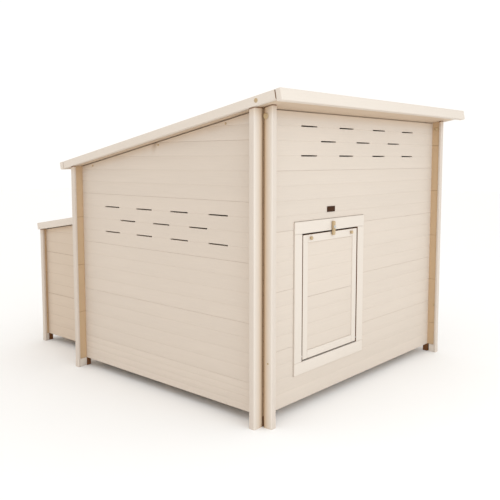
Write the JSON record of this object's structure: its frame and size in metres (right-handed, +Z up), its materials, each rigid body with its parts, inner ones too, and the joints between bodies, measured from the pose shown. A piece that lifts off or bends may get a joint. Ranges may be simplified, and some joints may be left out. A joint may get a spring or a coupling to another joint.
{
  "type": "chicken coop",
  "caption": "Raised lean-to chicken coop of interlocking pale boards with slotted vents, a drop-down pop door, a lifting roof and a rear nest box with its own lid.",
  "frame": {"origin": "on the ground, under the middle of the whole coop's length and width", "axes": "+Z up, -Y towards the door side, +X to the right when facing the door"},
  "size_m": [1.215, 1.5368, 1.0308],
  "materials": {
    "pale_board": "matt pale cream wood composite with fine horizontal grain and shallow grooves",
    "smooth_trim": "smooth satin pale cream wood composite",
    "inner_board": "matt tan wood composite",
    "tan_fixings": "satin tan moulded plastic",
    "zinc": "zinc plated",
    "dark_plate": "dark matt plate with a fine raised edge"
  },
  "bodies": {
    "house": {"front_board_1": "pale_board", "front_board_2": "pale_board", "front_board_3": "pale_board", "front_board_4": "pale_board", "front_board_5": "pale_board", "back_board_1": "pale_board", "back_board_2": "pale_board", "back_board_3": "pale_board", "back_board_4": "pale_board", "left_board_1": "pale_board", "left_board_2": "pale_board", "left_board_3": "pale_board", "left_board_4": "pale_board", "left_board_5": "pale_board", "left_board_6": "pale_board", "right_board_1": "pale_board", "right_board_2": "pale_board", "right_board_3": "pale_board", "right_board_4": "pale_board", "right_board_5": "pale_board", "right_board_6": "pale_board", "front_left_posts": "smooth_trim", "front_right_posts": "smooth_trim", "back_left_posts": "smooth_trim", "back_right_posts": "smooth_trim", "door_frame": "smooth_trim", "latch_screw": "zinc", "name_plate": "dark_plate", "roof_hinge_plates": "zinc", "nest_left_wall": "pale_board", "nest_right_wall": "pale_board", "nest_rear_wall": "pale_board", "nest_posts": "smooth_trim", "nest_floor": "inner_board", "nest_dividers": "pale_board", "lid_hinge_plates": "zinc", "hinge_pins": "zinc", "floor_boards": "inner_board", "floor_bearers": "inner_board", "roost_bars": "inner_board", "roost_brackets": "inner_board", "eave_rails": "inner_board", "fixings": "tan_fixings"},
    "roof": {"roof_boards": "pale_board", "roof_soffit": "pale_board", "roof_battens": "inner_board", "roof_front_trim": "smooth_trim", "roof_rear_trim": "smooth_trim", "roof_left_trim": "smooth_trim", "roof_right_trim": "smooth_trim", "roof_hinge_straps": "zinc"},
    "nest_lid": {"nest_lid_boards": "pale_board", "nest_lid_trim": "smooth_trim", "lid_hinge_straps": "zinc"},
    "door": {"door_boards": "pale_board", "door_edging": "smooth_trim", "door_cleats": "inner_board", "door_pivots": "zinc", "door_knobs": "tan_fixings"},
    "latch": {"door_latch": "tan_fixings"}
  },
  "joints": [
    {"name": "roof_lift", "type": "hinge", "parent": "house", "child": "roof", "pos_m": [0, 0.34192, 0.7843], "axis": [-1, 0, 0], "range_deg": [0, 75]},
    {"name": "lid_lift", "type": "hinge", "parent": "house", "child": "nest_lid", "pos_m": [0, 0.30192, 0.61472], "axis": [1, 0, 0], "range_deg": [0, 65]},
    {"name": "door_drop", "type": "hinge", "parent": "house", "child": "door", "pos_m": [-0.2, -0.65458, 0.178], "axis": [1, 0, 0], "range_deg": [0, 114]},
    {"name": "latch_turn", "type": "hinge", "parent": "house", "child": "latch", "pos_m": [-0.196, -0.66548, 0.599], "axis": [0, 1, 0], "range_deg": [0, 90]}
  ]
}
